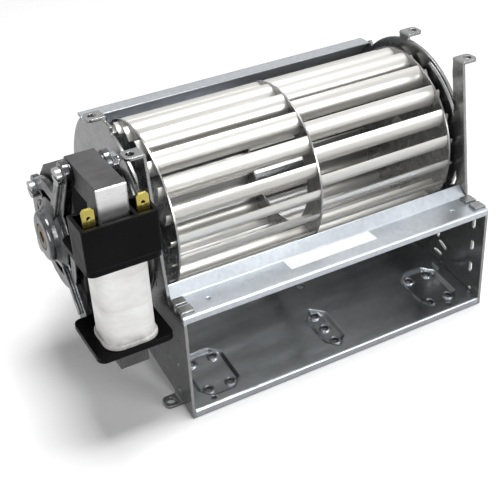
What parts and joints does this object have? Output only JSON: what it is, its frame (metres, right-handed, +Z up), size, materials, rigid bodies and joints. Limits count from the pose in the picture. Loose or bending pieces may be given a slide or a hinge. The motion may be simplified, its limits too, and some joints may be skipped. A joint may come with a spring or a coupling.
{
  "type": "refrigerator fan",
  "caption": "Cross-flow refrigerator fan: a bladed wheel in a folded galvanised sheet scroll housing, driven by a shaded-pole motor with white-taped coil on its left end.",
  "frame": {"origin": "floor level at the middle of the outlet's front edge", "axes": "+X along the wheel away from the motor, +Y from the outlet to the rear, +Z up"},
  "size_m": [0.1507, 0.0879, 0.089],
  "materials": {
    "galvanised_sheet": "galvanised, faintly spangled",
    "blade_aluminium": "bright satin",
    "disc_steel": "bright plated",
    "bright_steel": "ground",
    "sintered_bronze": "dull porous",
    "black_rubber": "matt",
    "lacquered_laminations": "dull dark lacquer",
    "bare_laminations": "bright edges",
    "rotor_steel": "turned",
    "diecast_zinc": "cast, slightly glossy",
    "zinc_plated_screws": "bright zinc plate",
    "black_nylon": "fine satin",
    "white_tape": "matt woven tape",
    "terminal_brass": "tinned brass",
    "copper_rings": "dull copper",
    "paper_label": "matt paper, blank"
  },
  "bodies": {
    "housing": {"left_end_plate": "galvanised_sheet", "right_end_plate": "galvanised_sheet", "scroll_sheet": "galvanised_sheet", "stabiliser_shelf": "galvanised_sheet", "right_bush": "sintered_bronze", "outer_bush": "sintered_bronze", "inner_bush": "sintered_bronze", "bearing_grommet": "black_rubber", "stator_core": "lacquered_laminations", "coil_limb": "bare_laminations", "outer_bracket": "diecast_zinc", "inner_bracket": "diecast_zinc", "motor_screws": "zinc_plated_screws", "motor_spacers": "zinc_plated_screws", "motor_nuts": "zinc_plated_screws", "bobbin": "black_nylon", "winding": "white_tape", "left_terminal": "terminal_brass", "right_terminal": "terminal_brass", "blank_sticker": "paper_label", "shading_rings": "copper_rings", "plate_screws": "zinc_plated_screws"},
    "impeller": {"left_blades": "blade_aluminium", "right_blades": "blade_aluminium", "left_end_disc": "disc_steel", "middle_disc": "disc_steel", "right_end_disc": "disc_steel", "motor_shaft": "bright_steel", "drive_hub": "disc_steel", "stub_axle": "bright_steel", "motor_rotor": "rotor_steel", "thrust_washers": "black_nylon", "grub_screw": "zinc_plated_screws"}
  },
  "joints": [
    {"name": "wheel_spin", "type": "hinge", "parent": "housing", "child": "impeller", "pos_m": [0, 0.0475, 0.054], "axis": [1, 0, 0], "continuous": true}
  ]
}
